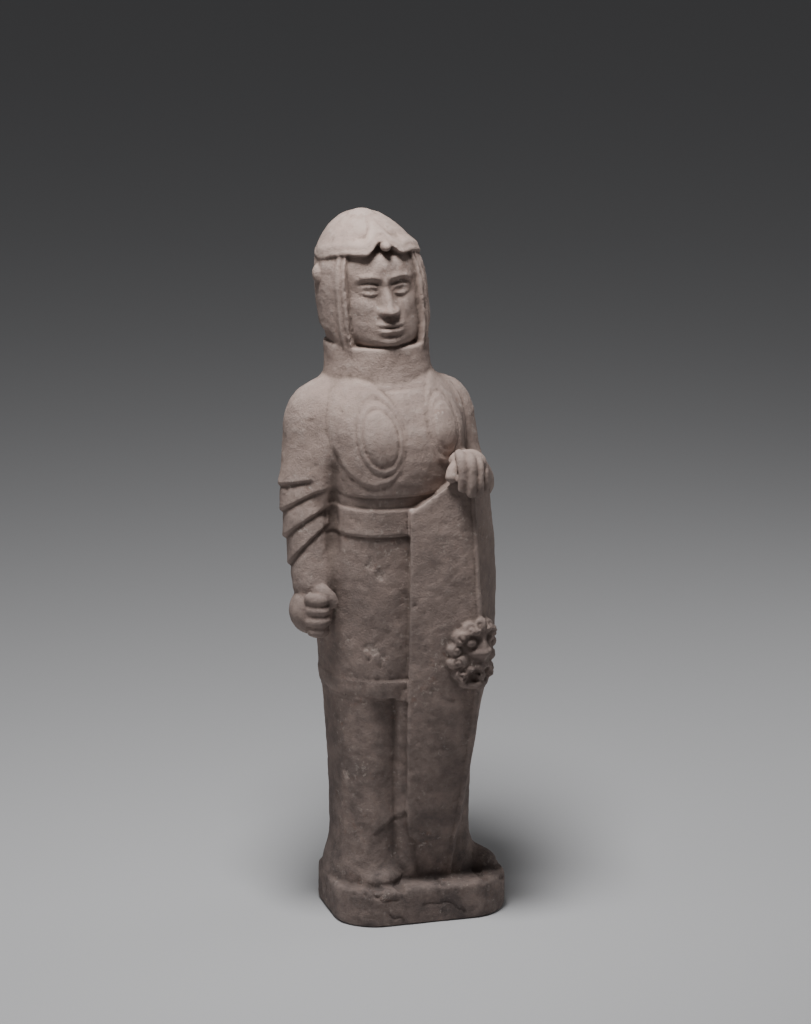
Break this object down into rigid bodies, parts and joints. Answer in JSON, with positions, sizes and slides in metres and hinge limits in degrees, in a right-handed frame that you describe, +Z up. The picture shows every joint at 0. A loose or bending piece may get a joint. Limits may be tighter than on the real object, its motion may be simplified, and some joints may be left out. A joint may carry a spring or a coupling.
{
  "type": "pottery tomb warrior figurine",
  "caption": "Standing pottery guardian warrior in helmet and breastplate, one fist at the hip and one hand on a long keeled shield with a beast mask, on a rounded slab plinth.",
  "frame": {"origin": "the middle of the plinth's flat underside", "axes": "+Z up; the warrior faces -Y, and the warrior's own left hand, with the shield, is on the +X side"},
  "size_m": [0.1416, 0.1185, 0.45],
  "materials": {
    "grey_pottery": "unglazed fired grey-buff earthenware, worn and dusty, with earth left in the hollows"
  },
  "bodies": {
    "root": {"warrior_figure": "grey_pottery"}
  },
  "joints": []
}
